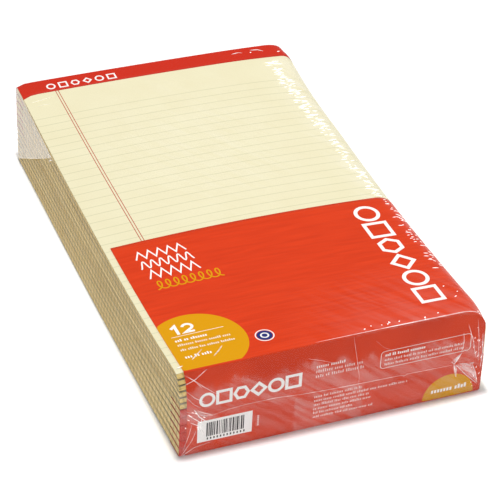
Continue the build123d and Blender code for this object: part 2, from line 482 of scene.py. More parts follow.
def cut_paper_edges(name, pale, dark):
    """Guillotined edges of fifty sheets: tan in the shade, with painted shade in fine dark gaps
    and over each pad's outer sheets, and slanting rule ends.
    """
    material, tree, output = new_material(name)
    place = add_node(tree, "ShaderNodeUVMap", uv_map="edge").outputs[0]
    axes = add_node(tree, "ShaderNodeSeparateXYZ", {"Vector": place}).outputs
    in_pad = maths(tree, "MODULO", axes["Y"], SHEET_COUNT_PITCH)
    half_pad = SHEETS_PER_PAD / 2
    off_core = maths(tree, "ABSOLUTE", maths(tree, "SUBTRACT", in_pad, half_pad))
    # Painted shade over the outer sheets of each pad, where the pads meet
    outer = remapped(tree, off_core, OUTER_SHEETS_START * half_pad, half_pad, 0.0, OUTER_SHEET_SHADE)
    run = maths(tree, "MULTIPLY", axes["X"], SHADE_CHANGES_PER_MM)
    layer = maths(tree, "MULTIPLY", axes["Y"], SHADE_CHANGES_PER_SHEET)
    layers = add_node(tree, "ShaderNodeCombineXYZ", {"X": run, "Y": layer}).outputs[0]
    # Painted shade in the fine gaps between sheets, in bands that change at random
    sheet_gap_shade = noise_at(tree, layers, 1.0, detail=4.0, roughness=0.65)
    edge = add_node(tree, "ShaderNodeValToRGB", {"Fac": sheet_gap_shade})
    edge.color_ramp.elements[0].position = 0.34
    edge.color_ramp.elements[0].color = srgb(dark)
    edge.color_ramp.elements[1].position = 0.62
    edge.color_ramp.elements[1].color = srgb(pale)
    slanted = maths(tree, "MULTIPLY_ADD", axes["Y"], RULE_SLANT, axes["X"])
    phase = maths(tree, "FRACT", maths(tree, "MULTIPLY", slanted, 1 / TICK_PITCH))
    off_middle = maths(tree, "ABSOLUTE", maths(tree, "SUBTRACT", phase, 0.5))
    tick = remapped(tree, off_middle, TICK_REACH, TICK_CORE, 0.0, TICK_STRENGTH)
    ticked = blended(tree, tick, edge.outputs[0], srgb(EDGE_TICK))
    shaded = blended(tree, outer, ticked, srgb(EDGE_SHADE))
    rough = bumped(tree, sheet_gap_shade, 0.5, 0.3)
    return opaque_material(material, tree, output, shaded, rough, roughness=0.9, specular=0.15)


def grained_surface(name, pale, deep, grain_size, roughness, bump_depth, specular, stretch=(1, 1, 1)):
    """A mottled opaque finish: two shades mixed by grain of one size in millimetres, with a bump of it."""
    material, tree, output = new_material(name)
    place = add_node(tree, "ShaderNodeTexCoord").outputs["Object"]
    stretched = add_node(tree, "ShaderNodeMapping", {"Vector": place, "Scale": stretch}).outputs[0]
    grain = noise_at(tree, stretched, 1 / (grain_size * MM), detail=4.0)
    shade = blended(tree, grain, srgb(deep), srgb(pale))
    normal = bumped(tree, grain, 0.4, bump_depth)
    return opaque_material(material, tree, output, shade, normal, roughness, specular)


def staple_steel():
    """Bright drawn steel wire, a little unevenly polished."""
    material, tree, output = new_material("bright_staple_steel")
    place = add_node(tree, "ShaderNodeTexCoord").outputs["Object"]
    rough = remapped(tree, noise_at(tree, place, 1 / (POLISH_SIZE * MM)), 0.0, 1.0, 0.2, 0.4)
    surface = add_node(
        tree, "ShaderNodeBsdfPrincipled", {"Base Color": srgb("C9CACD"), "Metallic": 1.0, "Roughness": rough}
    )
    tree.links.new(surface.outputs[0], output.inputs[0])
    return material


def clear_shrink_film(name, haze_low, haze_high, gloss, painted_glow=0.0, painted=True, lie=(38.0, 0.0)):
    """Thin polyolefin film: clear, with wet-looking glints and a milky veil where it is doubled or slack;
    on the slack front, the creases and the puckers the veil is painted reflection and highlight.

    The veil's streaks swing between haze_low and haze_high; film made with painted=True multiplies them
    by its vertex attribute. The veil's emission is a painted highlight glow. lie turns the streaks about Y
    and Z, in degrees.
    """
    material, tree, output = new_material(name)
    place = add_node(tree, "ShaderNodeTexCoord").outputs["Object"]
    ripples = noise_at(tree, place, 1 / (RIPPLE_SIZE * MM), detail=3.0, distortion=0.6)
    rippled = bumped(tree, ripples, 0.35, 0.6)
    clear = add_node(tree, "ShaderNodeBsdfTransparent", {"Color": srgb("FFFFFF")}).outputs[0]
    glossy = add_node(
        tree, "ShaderNodeBsdfAnisotropic", {"Color": srgb("FFFFFF"), "Roughness": 0.16, "Normal": rippled}
    ).outputs[0]
    edge_on = add_node(tree, "ShaderNodeFresnel", {"IOR": 1.5, "Normal": rippled}).outputs[0]
    film = layered(tree, maths(tree, "MULTIPLY", edge_on, gloss, use_clamp=True), clear, glossy)
    # A white veil; its emission is a painted highlight glow
    veil = add_node(
        tree, "ShaderNodeBsdfPrincipled",
        {"Base Color": srgb("FBF8F6"), "Roughness": 0.35, "Specular IOR Level": 0.3,
         "Emission Color": srgb("FFFFFF"), "Emission Strength": painted_glow, "Normal": rippled},
    ).outputs[0]
    slanted = add_node(
        tree, "ShaderNodeMapping",
        {"Vector": place, "Rotation": (0.0, math.radians(lie[0]), math.radians(lie[1])),
         "Scale": (STREAK_LENGTH * MM, STREAK_WIDTH * MM, STREAK_WIDTH * MM)},
        vector_type="TEXTURE",
    ).outputs[0]
    streaks = noise_at(tree, slanted, 1.0, detail=4.0, roughness=0.55)
    haze_and_sheen = remapped(tree, streaks, 0.36, 0.66, haze_low, haze_high)
    if painted:
        paint = add_node(tree, "ShaderNodeAttribute", attribute_name="haze_and_sheen").outputs["Fac"]
        haze_and_sheen = maths(tree, "MULTIPLY", paint, haze_and_sheen, use_clamp=True)
    from_behind = add_node(tree, "ShaderNodeNewGeometry").outputs["Backfacing"]
    one_sided = layered(tree, from_behind, layered(tree, haze_and_sheen, film, veil), clear)
    tree.links.new(one_sided, output.inputs[0])
    return material


# Finished materials

canary_paper = ruled_canary_paper()
paper_edges = cut_paper_edges("cut_paper_edges", "F8E2A8", "CFB074")
# A lighter, yellower copy of the cut edges for the sheet ends: painted light on the faces toward front and
# rear
lit_foot_edges = cut_paper_edges("lit_cut_foot_edges", "F8E096", "E0BE70")
chipboard = grained_surface("grey_chipboard", "857050", "625234", 0.8, 0.9, 0.05, 0.15)
binding_paper = grained_surface("red_crepe_binding_paper", "CF2F18", "B52310", 0.6, 0.5, 0.04, 0.15)
card_stock = grained_surface("coated_red_card", "E0431A", "BC2E0D", 3.5, 0.4, 0.02, 0.12, (0.12, 1.6, 0.12))
staple_wire = staple_steel()
shrink_film = clear_shrink_film("clear_shrink_film", 0.1, 1.0, 0.08, lie=(0.0, -56.0))
# The front's milkier film: its veil there is painted reflection of the slack film
front_film = clear_shrink_film("front_shrink_film", 0.2, 1.0, 0.1)
slack_film = clear_shrink_film("slack_shrink_film", 0.02, 0.1, 1.0, painted=False)
# Gathered, creased and puckered film: white veil and glow are painted glints on real folds, on the gathered
# corner partly whitened film
gathered_film = clear_shrink_film("gathered_shrink_film", 0.1, 0.6, 0.8, 0.25, painted=False)
creased_film_painted_glints = clear_shrink_film("creased_shrink_film_painted_glints", 0.3, 0.85, 0.4, 0.4, painted=False)
puckered_film_painted_glints = clear_shrink_film("puckered_shrink_film_painted_glints", 0.7, 1.0, 0.4, 0.6, painted=False)


# Pads

def layer_insets(pad):
    """How far each band of sheets stands back from the pad's true outline."""
    draw = random.Random(100 + pad)
    return [draw.uniform(0.02, 0.3) for _ in range(SHEET_BANDS)]


def foot_gap(pad, x, y):
    """Room left over a pad's loose foot, widest at the left corner."""
    head_y, inward = head_place(pad)
    if pad == PADS - 1:
        return 0.0
    from_foot = max(0.0, 1 - (2 * HALF_LENGTH - inward * (y - head_y)) / FOOT_GAP_LENGTH)
    to_left = max(0.0, -x / HALF_WIDTH)
    return FOOT_GAP * from_foot * (FOOT_GAP_SHARE_INSIDE + (1 - FOOT_GAP_SHARE_INSIDE) * to_left ** 4)


def pad_sheets(pad):
    """The fifty sheets of a pad, in uneven bands as they come from the guillotine."""
    top_pad = pad == PADS - 1
    xs = across_stations(-HALF_WIDTH, HALF_WIDTH, 6 if top_pad else 12)
    ys = along_stations(4 if top_pad else 8)
    shares, insets = [], []
    for band, inset in enumerate(layer_insets(pad)):
        shares += [band / SHEET_BANDS + BAND_LIP, (band + 1) / SHEET_BANDS - BAND_LIP]
        insets += [inset, inset]
    shares[0], shares[-1] = 0.0, 1.0
    corners, faces, sides = block_surface(xs, ys, shares)
    points = []
    for i, j, k in corners:
        x, y = xs[i], ys[j]
        low = pad_underside(pad, x, y) + BOARD_THICKNESS
        z = low + (pad_top(pad, x, y) - foot_gap(pad, x, y) - low) * shares[k]
        wander = 0.08 * noise.noise(Vector((x / 30, y / 30, pad * 7 + k * 0.9)))
        inset = insets[k] + abs(wander)
        points.append((x * (1 - inset / HALF_WIDTH), y * (1 - inset / HALF_LENGTH), z))
    name = f"pad_{pad + 1:02d}"
    piece = new_piece(
        f"{name}_ruled_sheets", points, faces, [canary_paper, paper_edges, lit_foot_edges],
        [f"{name}_sheets"], smooth=False,
    )
    places = piece.data.uv_layers.new(name="edge")
    for polygon, side in zip(piece.data.polygons, sides):
        flat = side in ("top", "bottom")
        # Sheet ends toward front and rear take the lighter copy of the edges, painted light
        polygon.material_index = 0 if flat else 2 if side in ("front", "rear") else 1
        polygon.use_smooth = flat
        for loop in polygon.loop_indices:
            i, j, k = corners[piece.data.loops[loop].vertex_index]
            along = xs[i] if side in ("front", "rear") else ys[j]
            across = ys[j] if flat else shares[k] * SHEETS_PER_PAD + pad * SHEET_COUNT_PITCH
            places.data[loop].uv = (along, across)
    return piece


def pad_board(pad):
    """The chipboard back of a pad, a little shy of the sheets."""
    xs = across_stations(-HALF_WIDTH, HALF_WIDTH, 12)
    ys = spaced(-HALF_LENGTH, HALF_LENGTH, 8)
    shares = [0.0, 1.0]
    corners, faces, _ = block_surface(xs, ys, shares)
    points = []
    for i, j, k in corners:
        x, y = xs[i], ys[j]
        z = pad_underside(pad, x, y) + BOARD_THICKNESS * shares[k]
        points.append((x * (1 - BOARD_INSET / HALF_WIDTH), y * (1 - BOARD_INSET / HALF_LENGTH), z))
    name = f"pad_{pad + 1:02d}"
    return new_piece(
        f"{name}_chipboard_back", points, faces, [chipboard], [f"{name}_backing_board"],
        smooth=False,
    )


def tape_lap_at(pad, x):
    """How far the tape laps onto the sheets; the top pad's lap is pulled down at its left end."""
    if pad < PADS - 1:
        return TAPE_LAP
    return TAPE_LAP + PULLED_LAP * max(0.0, (-x - PULLED_LAP_START) / PULLED_LAP_LENGTH) ** 2


def tape_section(pad, x):
    """Outer and inner line of the binding tape round the head at a place across it."""
    head_y, inward = head_place(pad)
    bend_y = head_y + inward * (TAPE_FOLD_RADIUS - TAPE_THICKNESS)
    upper_bend = (level(pad + 1, x, bend_y) - TAPE_FOLD_RADIUS, turns(90, 180, 4)[1:])
    lower_bend = (level(pad, x, bend_y) + TAPE_FOLD_RADIUS, turns(180, 270, 4)[:-1])
    lap_ys = [head_y + inward * depth for depth in steps(tape_lap_at(pad, x), TAPE_FOLD_RADIUS, 5)]
    outer, inner = [], []
    for line, inset in ((outer, 0.0), (inner, TAPE_THICKNESS)):
        radius = TAPE_FOLD_RADIUS - inset
        for y in lap_ys:
            line.append((x, y, level(pad + 1, x, y) - inset))
        for centre_z, bend in (upper_bend, lower_bend):
            for turn in bend:
                y = bend_y + inward * radius * math.cos(turn)
                line.append((x, y, centre_z + radius * math.sin(turn)))
        for y in reversed(lap_ys):
            line.append((x, y, level(pad, x, y) + inset))
    return outer, inner


def pad_tape(pad):
    """The red tape folded over a pad's head."""
    xs = across_stations(-HALF_WIDTH, HALF_WIDTH, 6)
    points, faces = strip_surface([tape_section(pad, x) for x in xs])
    name = f"pad_{pad + 1:02d}"
    return new_piece(
        f"{name}_binding_tape", points, faces, [binding_paper], [f"{name}_binding"],
        turn_outwards=True,
    )


def pad_staples(pad):
    """The two wire staples of a pad, their legs bent inwards under the board."""
    head_y, inward = head_place(pad)
    y = head_y + inward * STAPLE_SETBACK
    curve = bpy.data.curves.new("staple_path", "CURVE")
    curve.dimensions = "3D"
    curve.bevel_depth = STAPLE_WIRE / 2 * MM
    curve.bevel_resolution = 2
    curve.use_fill_caps = True
    for middle in (-STAPLE_SPACING / 2, STAPLE_SPACING / 2):
        path = []
        for side in (-1, 1):
            leg = middle + side * STAPLE_CROWN / 2
            low = pad_underside(pad, leg, y) + STAPLE_DEPTH
            high = pad_top(pad, leg, y) - STAPLE_DEPTH
            path.append([(leg - side * STAPLE_CLINCH, low), (leg, low), (leg, high)])
        corners = path[0] + path[1][::-1]
        line = curve.splines.new("POLY")
        line.points.add(len(corners) - 1)
        for point, (x, z) in zip(line.points, corners):
            point.co = [size * MM for size in settled(x, y, z)] + [1.0]
    drawn = bpy.data.objects.new("staple_path", curve)
    bpy.context.scene.collection.objects.link(drawn)
    mesh = bpy.data.meshes.new_from_object(drawn)
    bpy.data.objects.remove(drawn)
    name = f"pad_{pad + 1:02d}"
    mesh.name = f"{name}_wire_staples"
    mesh.materials.clear()
    mesh.materials.append(staple_wire)
    mesh.shade_smooth()
    return placed_piece(f"{name}_wire_staples", mesh, [f"{name}_staples"])


for pad in range(PADS):
    pad_sheets(pad)
    pad_board(pad)
    pad_tape(pad)
    pad_staples(pad)


# Card

def card_section(x):
    """Outer and inner line of the card at a place across it, from the top panel to the return."""
    outer, inner = [], []
    bend_y = CARD_FRONT + CARD_FOLD_RADIUS
    for y in steps(CARD_REAR, bend_y, 48):
        z = level(PADS, x, y)
        outer.append((x, y, z + CARD_THICKNESS))
        inner.append((x, y, z))
    upper_z = level(PADS, x, bend_y) + CARD_THICKNESS - CARD_FOLD_RADIUS
    lower_z = CARD_UNDERSIDE + CARD_FOLD_RADIUS
    for line, radius in ((outer, CARD_FOLD_RADIUS), (inner, CARD_FOLD_RADIUS - CARD_THICKNESS)):
        for turn in turns(90, 180, 5)[1:]:
            line.append((x, bend_y + radius * math.cos(turn), upper_z + radius * math.sin(turn)))
        for z in steps(upper_z, lower_z, 22)[1:]:
            line.append((x, bend_y - radius, z))
        for turn in turns(180, 270, 5)[1:]:
            line.append((x, bend_y + radius * math.cos(turn), lower_z + radius * math.sin(turn)))
        for y in steps(bend_y, SPINE_FRONT + CARD_RETURN_DEPTH, 4)[1:]:
            line.append((x, y, lower_z - radius))
    return outer, inner


card_xs = across_stations(CARD_LEFT, CARD_RIGHT, 5)
card_points, card_faces = strip_surface([card_section(x) for x in card_xs])
new_piece(
    "folded_card", card_points, card_faces, [card_stock], ["label_card"],
    turn_outwards=True,
)


# Print

INK_LIFTS = {"amber": 0.03, "blue": 0.03, "white": 0.06, "dark": 0.09}
INK_KEY = 0.02
INK_CELL = 3.0
WAVE_STROKE = 1.05
SHAPES_IN_A_ROW = ("ring", "square", "hexagon", "diamond", "ring", "square")
inks = {ink: ([], []) for ink in INK_LIFTS}


def on_card_top(x, y, lift):
    """A place over the card's top panel."""
    return x, y, level(PADS, x, y) + CARD_THICKNESS + lift


def on_card_front(x, z, lift):
    """A place in front of the card's front panel."""
    return x, CARD_FRONT - lift, z


def on_top_tape(x, y, lift):
    """A place over the top pad's binding tape."""
    return x, y, level(PADS, x, y) + lift


def lay_patch(ink, surface, rows):
    """Adds a grid of places on a surface to an ink; rows hold places across and along the surface."""
    points, faces = inks[ink]
    first, width = len(points), len(rows[0])
    for row in rows:
        points.extend(surface(across, along, INK_LIFTS[ink]) for across, along in row)
    for a in range(len(rows) - 1):
        for b in range(width - 1):
            corners = [rows[a][b], rows[a][b + 1], rows[a + 1][b + 1], rows[a + 1][b]]
            area = sum(p[0] * q[1] - q[0] * p[1] for p, q in zip(corners, corners[1:] + corners[:1]))
            cell = [a * width + b, a * width + b + 1, (a + 1) * width + b + 1, (a + 1) * width + b]
            faces.append([first + n for n in (cell if area > 0 else cell[::-1])])


def lay_bar(ink, surface, left, right, low, high):
    """An upright rectangle of ink."""
    xs = spaced(left, right, INK_CELL)
    lay_patch(ink, surface, [[(x, y) for x in xs] for y in spaced(low, high, INK_CELL)])


def lay_ribbon(ink, surface, path, width, closed=False):
    """A line of ink of one width along a path, with mitred corners."""
    places = along_path(path + path[:1] if closed else path, INK_CELL)
    sides = [[], []]
    for n, place in enumerate(places):
        if closed:
            before, after = places[(n or len(places) - 1) - 1], places[n + 1 if n < len(places) - 1 else 1]
        else:
            before, after = places[max(n - 1, 0)], places[min(n + 1, len(places) - 1)]
        into = (place - before).normalized() if place != before else (after - place).normalized()
        out = (after - place).normalized() if place != after else into
        across = Vector((-(into + out).y, (into + out).x)).normalized()
        reach = width / 2 / max(0.35, across.dot(Vector((-into.y, into.x))))
        sides[0].append(tuple(place - across * reach))
        sides[1].append(tuple(place + across * reach))
    lay_patch(ink, surface, sides)


def circle(across, along, radius, count=40):
    """Places round a circle."""
    return [
        (across + radius * math.cos(turn), along + radius * math.sin(turn))
        for turn in (math.tau * n / count for n in range(count))
    ]


def lay_disc(ink, surface, across, along, radius, left=-1e9, low=-1e9):
    """A disc of ink, cut off at the left and below where it reaches an edge."""
    rings = []
    for share in [0.02] + steps(0.1, 1.0, 9):
        ring = []
        for x, y in circle(across, along, radius, 96) + [(across + radius, along)]:
            reach = 1.0
            if x < left:
                reach = min(reach, (across - left) / (across - x))
            if y < low:
                reach = min(reach, (along - low) / (along - y))
            ring.append((across + (x - across) * reach * share, along + (y - along) * reach * share))
        rings.append(ring)
    lay_patch(ink, surface, rings)


def lay_shapes(surface, start, step, size, stroke):
    """A row of outlined shapes in white, each turned with the row's direction."""
    heading = Vector(step).normalized()
    rising = Vector((-heading.y, heading.x))
    radius = size / 2 - stroke / 2
    outlines = {
        "ring": circle(0, 0, radius),
        "square": [(-radius, -radius), (radius, -radius), (radius, radius), (-radius, radius)],
        "diamond": [(0, -radius), (radius, 0), (0, radius), (-radius, 0)],
        "hexagon": circle(0, 0, radius, 6),
    }
    for n, name in enumerate(SHAPES_IN_A_ROW):
        middle = Vector(start) + Vector(step) * n
        path = [tuple(middle + heading * across + rising * along) for across, along in outlines[name]]
        lay_ribbon("white", surface, path, stroke, closed=True)


def lay_strokes(surface, left, right, base, height, weight, seed):
    """A row of short upright strokes of two heights, in groups of two to eight."""
    draw = random.Random(seed)
    pitch = 0.62 * height
    group_gap = 0.7 * pitch
    x = left
    while x < right:
        for _ in range(draw.randint(2, 8)):
            tall = height if draw.random() < 0.25 else 0.72 * height
            if x + weight <= right:
                lay_bar("white", surface, x, x + weight, base, base + tall)
            x += pitch
        x += group_gap


def lay_wave(ink, left, right, base, height, waves, points_a_wave, overhang):
    """An even wavy pen line: two points a wave make a zigzag, and an overhang makes each wave a loop."""
    path = []
    for n in range(waves * points_a_wave + 1):
        angle = math.tau * n / points_a_wave
        x = left + (right - left) * n / (waves * points_a_wave) + overhang * math.sin(angle)
        path.append((x, base + height * (0.5 - 0.5 * math.cos(angle))))
    lay_ribbon(ink, on_card_top, path, WAVE_STROKE)


def print_card_top():
    """Rows of zigzag, wave and loops, a row of shapes, the amber disc with its count, and a round badge."""
    for ink, left, right, base, height, waves, points_a_wave, overhang in (
        ("white", -91, -56, -51.5, 8.0, 5, 2, 0.0), ("white", -91, -54, -62.5, 8.0, 6, 16, 0.0),
        ("white", -89, -54, -74.5, 9.0, 5, 2, 0.0), ("amber", -88, -42, -87.5, 9.0, 8, 16, 2.6),
    ):
        lay_wave(ink, left, right, base, height, waves, points_a_wave, overhang)
    lay_shapes(on_card_top, (77.0, -49.5), (0.0, -20.2), 18.5, 2.7)
    lay_disc("amber", on_card_top, -84.0, -152.0, 32.0, left=CARD_LEFT, low=CARD_FRONT + CARD_FOLD_RADIUS)
    lay_ribbon("white", on_card_top, [(-95.4, -132.0), (-92.2, -129.4), (-92.2, -139.0)], 2.0)
    bow = [(-84.6 + 3.2 * math.cos(turn), -132.6 + 2.9 * math.sin(turn)) for turn in turns(165, -45, 14)]
    lay_ribbon("white", on_card_top, bow + [(-87.6, -138.1), (-81.2, -138.1)], 1.9)
    lay_bar("white", on_card_top, -98, -63, -141.0, -140.6)
    lay_strokes(on_card_top, -97, -76, -146.4, 2.6, 1.0, 1)
    lay_strokes(on_card_top, -97, -62, -151.2, 2.2, 0.6, 2)
    lay_strokes(on_card_top, -97, -61, -156.6, 2.2, 0.6, 3)
    lay_strokes(on_card_top, -97, -79, -165.2, 2.8, 1.0, 4)
    lay_ribbon("white", on_card_top, circle(-42, -159, 5.9), 0.7, closed=True)
    lay_disc("blue", on_card_top, -42, -159, 5.1)
    lay_ribbon("white", on_card_top, circle(-42, -159, 2.4), 1.0, closed=True)


def print_card_front():
    """A row of shapes, made-up bars in a white field, rows of strokes, a bordered note and the half disc."""
    lay_shapes(on_card_front, (-88.5, 43.6), (12.0, 0.0), 11.5, 2.1)
    lay_bar("white", on_card_front, -95, -56, 9.0, 26.5)
    draw = random.Random(12)
    x = -88.5
    while x < -62:
        bar = draw.choice((0.35, 0.5, 0.8, 1.1))
        lay_bar("dark", on_card_front, x, x + bar, 13.0, 24.5)
        x += bar + draw.choice((0.4, 0.5, 0.8))
    for x in spaced(-88, -62, 2.4):
        lay_bar("dark", on_card_front, x, x + 1.0, 10.3, 12.0)
    for z in spaced(13.0, 20.5, 1.5):
        lay_bar("white", on_card_front, -52.5, -51.2, z, z + 0.6)
    lay_strokes(on_card_front, -13, 7, 50.2, 2.4, 0.675, 5)
    lay_strokes(on_card_front, -13, 19, 46.2, 2.4, 0.45, 6)
    lay_strokes(on_card_front, -13, 20, 42.2, 2.4, 0.45, 7)
    border = []
    for x, z, start in ((94.5, 40.5, 270), (94.5, 49.5, 0), (34.5, 49.5, 90), (34.5, 40.5, 180)):
        for turn in turns(start, start + 90, 4):
            border.append((x + 2.5 * math.cos(turn), z + 2.5 * math.sin(turn)))
    lay_ribbon("white", on_card_front, border, 0.35, closed=True)
    lay_strokes(on_card_front, 35, 65, 47.6, 2.2, 0.9, 8)
    lay_strokes(on_card_front, 35, 92, 43.8, 1.9, 0.45, 9)
    lay_strokes(on_card_front, 35, 92, 40.2, 1.9, 0.45, 10)
    for n, right in enumerate((20, 53, 26, 27, 15, 29)):
        lay_strokes(on_card_front, -13, right, 25.4 - 3.4 * n, 1.9, 0.42, 11 + n)
    lay_disc("amber", on_card_front, 84.0, 1.6, 18.5, low=CARD_UNDERSIDE + CARD_FOLD_RADIUS)
    lay_strokes(on_card_front, 71.5, 97, 6.5, 3.6, 1.5, 20)


def print_top_tape():
    """A small row of shapes on the top pad's tape."""
    lay_shapes(on_top_tape, (-84.0, 168.0), (9.4, 0.0), 7.0, 1.2)


def ink_piece(ink, colour):
    """All print of one ink, as a thin closed layer that is keyed into what it is printed on."""
    points, faces = inks[ink]
    material = grained_surface(f"{ink}_printing_ink", colour, colour, 1.0, 0.4, 0.005, 0.12)
    piece = new_piece(f"{ink}_print", points, faces, [material], smooth=False)
    shape = bmesh.new()
    shape.from_mesh(piece.data)
    bmesh.ops.remove_doubles(shape, verts=shape.verts, dist=1e-6)
    shape.to_mesh(piece.data)
    shape.free()
    layer = piece.modifiers.new("ink_thickness", "SOLIDIFY")
    layer.thickness = (INK_LIFTS[ink] + INK_KEY) * MM
    layer.offset = -1.0


print_card_top()
print_card_front()
print_top_tape()
for ink, colour in (("white", "F2EFEC"), ("amber", "D49500"), ("blue", "23306E"), ("dark", "2A2426")):
    ink_piece(ink, colour)


# Film

FLAT_HEIGHT = 66.0
FILM_EDGE_RADIUS = 0.5
RIDGE_CELL = 2.0
RIDGE_SUNK = 0.03
CREASE_HEIGHT = 0.18
FLAP_CELL = 4.0
PUCKER_SWING = 0.3

# Milky veil of the film. The front is slack up to a ragged line, and less so under the seam; its veil there
# is painted reflection
SLACK_TOP = 54.0
SLACK_TOP_FALL = 6.0
SLACK_PAINTED_REFLECTION = 0.2
HAZE_SHARE_UNDER_SEAM = 0.45

# Doubled film at the middle of the front, where two sheets overlap
OVERLAP_LEFT = -26.0
OVERLAP_RIGHT = 22.0
OVERLAP_HAZE = 0.12

# Milky spots on the front, the right one a painted highlight by the gathered corner: place across and up,
# reach and strength
FRONT_SPOTS = ((-92, 31, 15, 0.14), (-104, 4, 18, 0.03), (92, 24, 14, 0.1))

# Veil of the right front edge, the card's front fold, the waves behind it, the sheet's right edge and middle;
# at the fold and the sheet's right edge it is painted highlight
RIGHT_EDGE_HAZE = 0.02
FOLD_PAINTED_HIGHLIGHT = 0.06
WAVES_HAZE = 0.05
SHEET_EDGE_PAINTED_HIGHLIGHT = 0.24
SHEET_MIDDLE_HAZE = 0.1
TIGHT_HAZE = 0.05

# Trim seam, by its height on the right and the rear, and by its places across and up on the front
SEAM_HEIGHT = 26.5
SEAM_PATH = [
    (-105, 38), (-98, 34.5), (-91, 31), (-85, 30), (-74, 32), (-62, 33), (-40, 33), (-20, 31), (0, 30),
    (30, 29.2), (48, 28.8), (50, 27.6), (52, 28.8), (75, 28.2), (86, 28),
]


def film_cover(y):
    """How far the film stands over the stack: on the card, or down on the paper beyond it."""
    past_card = min(1.0, max(0.0, (y - CARD_REAR) / 5))
    return FILM_CLEARANCE + FILM_THICKNESS + CARD_THICKNESS * (1 - past_card)


def rounded(place, half_sizes):
    """A place on a flat-sided box moved onto the same box with rounded edges."""
    nearest = [max(-h + FILM_EDGE_RADIUS, min(h - FILM_EDGE_RADIUS, p)) for p, h in zip(place, half_sizes)]
    away = Vector(place) - Vector(nearest)
    return Vector(nearest) + away.normalized() * FILM_EDGE_RADIUS


def film_place(x, y, share):
    """A place on the film from its place on a flat-sided box."""
    middle_y = (FILM_FRONT + FILM_REAR) / 2
    half_sizes = (FILM_HALF_WIDTH, (FILM_REAR - FILM_FRONT) / 2, FLAT_HEIGHT / 2)
    box_place = (x, y - middle_y, (share - 0.5) * FLAT_HEIGHT)
    x, y, z = rounded(box_place, half_sizes)
    y += middle_y
    z += FLAT_HEIGHT / 2
    height = level(PADS, x, y) + film_cover(y)
    return x, y, z / FLAT_HEIGHT * height


def film_stations(start, end, step):
    """Places along a side of the film, closer together round its edges."""
    near = [0.0, FILM_EDGE_RADIUS * 0.5, FILM_EDGE_RADIUS]
    inner = spaced(start + FILM_EDGE_RADIUS, end - FILM_EDGE_RADIUS, step)[1:-1]
    return [start + d for d in near] + inner + [end - d for d in reversed(near)]


def smooth_step(value, start, end):
    """Rises smoothly from 0 at start to 1 at end."""
    share = min(1.0, max(0.0, (value - start) / (end - start)))
    return share * share * (3 - 2 * share)


def near_spot(across, up, spot_across, spot_up, reach):
    """Falls smoothly from 1 in the middle of a spot to 0 at its rim."""
    return 1 - smooth_step(math.hypot(across - spot_across, up - spot_up), 0.0, reach)


def front_haze_and_reflection(x, z):
    """How milky the film's front is at a place: painted reflection where it is slack, and a painted highlight
    by the gathered corner.
    """
    broad = 9 * noise.noise(Vector((x / 11, 0.3, 0.0)))
    narrow = 4 * noise.noise(Vector((x / 4, 7.0, 0.0)))
    # Painted reflection of the slack film, up to a ragged line
    ragged = SLACK_TOP - SLACK_TOP_FALL * smooth_step(x, -20, 60) + broad + narrow
    slack = 1 - smooth_step(z, ragged - 5, ragged + 3)
    under_seam = HAZE_SHARE_UNDER_SEAM + (1 - HAZE_SHARE_UNDER_SEAM) * smooth_step(z, 26, 31)
    haze_and_sheen = SLACK_PAINTED_REFLECTION * slack * under_seam + RIGHT_EDGE_HAZE * smooth_step(x, 92, 106)
    if OVERLAP_LEFT < x < OVERLAP_RIGHT and z < SEAM_HEIGHT + 3:
        haze_and_sheen += OVERLAP_HAZE
    for across, up, reach, strength in FRONT_SPOTS:
        haze_and_sheen += strength * near_spot(x, z, across, up, reach)
    return haze_and_sheen


def film_haze(x, y, z):
    """How milky the film is at a place, with painted reflection on the slack front and painted highlights
    along the card's fold and the sheet's right edge.
    """
    top = level(PADS, x, y)
    if y < FILM_FRONT + 0.3 and z < top - 0.3:
        return front_haze_and_reflection(x, z)
    if z > top and y < CARD_REAR:
        # Painted highlight along the card's front fold
        fold = 1 - smooth_step(y, FILM_FRONT, FILM_FRONT + 9)
        waves = 1 - smooth_step(y, FILM_FRONT + 10, FILM_FRONT + 80)
        return (FOLD_PAINTED_HIGHLIGHT * fold + WAVES_HAZE * waves) * smooth_step(x, -40, 60)
    if z > top:
        on_sheet = 1 - smooth_step(y, 155, 162)
        # Painted highlights along the sheet's right edge
        at_edge = SHEET_EDGE_PAINTED_HIGHLIGHT * smooth_step(x, 72, 98)
        return on_sheet * (at_edge + SHEET_MIDDLE_HAZE * near_spot(x, y, 0, 60, 130))
    return TIGHT_HAZE


def film_skin():
    """The film as one closed skin."""
    near_left = [-FILM_HALF_WIDTH, -FILM_HALF_WIDTH + FILM_EDGE_RADIUS / 2]
    inner_xs = across_stations(-FILM_HALF_WIDTH + FILM_EDGE_RADIUS, HALF_WIDTH, 2.0)
    xs = near_left + inner_xs + [FILM_HALF_WIDTH]
    ys = film_stations(FILM_FRONT, FILM_REAR, 2.5)
    zs = film_stations(0.0, FLAT_HEIGHT, 2.0)
    corners, faces, sides = block_surface(xs, ys, zs)
    points = [film_place(xs[i], ys[j], zs[k] / FLAT_HEIGHT) for i, j, k in corners]
    piece = new_piece(
        "wrapped_film", points, faces, [shrink_film, front_film], ["shrink_film"]
    )
    for polygon, side in zip(piece.data.polygons, sides):
        polygon.material_index = 1 if side == "front" else 0
    painted = piece.data.attributes.new("haze_and_sheen", "FLOAT", "POINT")
    painted.data.foreach_set("value", [film_haze(*point) for point in points])


def on_film_top(x, y, lift):
    """A place over the film's top."""
    return x, y, level(PADS, x, y) + film_cover(y) + lift


def on_film_front(x, z, lift):
    """A place in front of the film's front."""
    return x, FILM_FRONT - lift, z


def on_film_left(y, z, lift):
    """A place left of the film's left side."""
    return -FILM_HALF_WIDTH - lift, y, z


def on_film_right(y, z, lift):
    """A place right of the film's right side."""
    return FILM_HALF_WIDTH + lift, y, z


